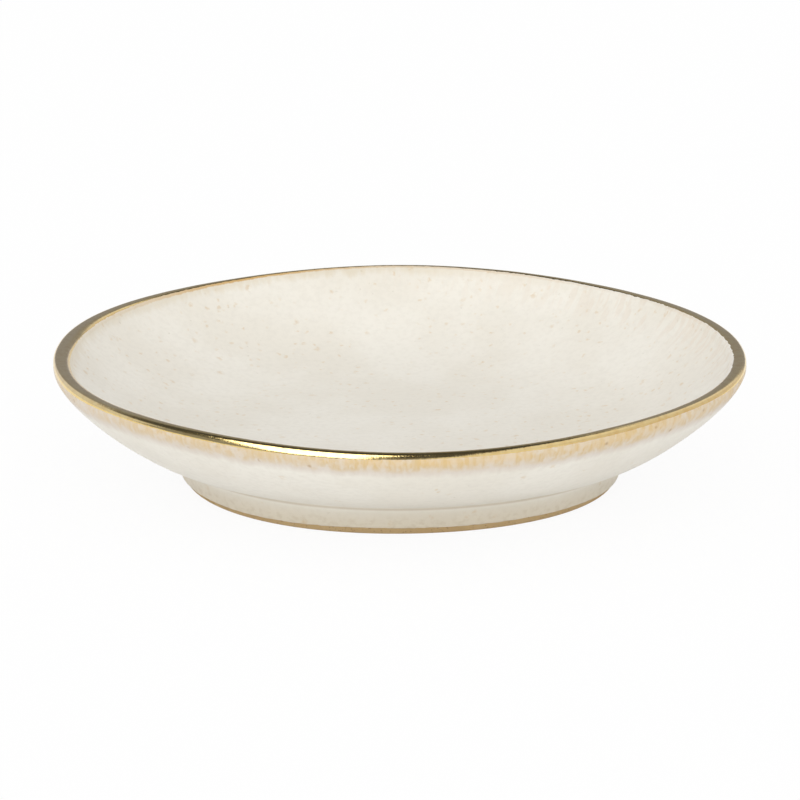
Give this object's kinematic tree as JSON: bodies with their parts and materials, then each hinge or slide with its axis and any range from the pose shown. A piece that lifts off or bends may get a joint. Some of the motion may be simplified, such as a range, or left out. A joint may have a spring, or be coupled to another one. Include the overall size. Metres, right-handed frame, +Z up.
{
  "type": "ring dish",
  "caption": "Small round stoneware dish on a foot ring, cream glaze with a gold lustre rim, for rings and small jewellery.",
  "frame": {"origin": "on the surface that the dish stands on, under the middle of its rim", "axes": "+Z up through the open side of the dish, +X to the viewer's right and -Y towards the viewer of the picture"},
  "size_m": [0.1104, 0.1099, 0.0205],
  "materials": {
    "bare_stoneware": "matte",
    "cream_inside_glaze": "satin",
    "cream_outside_glaze": "satin",
    "cream_well_glaze": "satin",
    "gold_lustre": "polished"
  },
  "bodies": {
    "root": {"stoneware_body": "bare_stoneware", "inside_glaze": "cream_inside_glaze", "outside_glaze": "cream_outside_glaze", "foot_well_glaze": "cream_well_glaze", "gold_rim": "gold_lustre"}
  },
  "joints": []
}
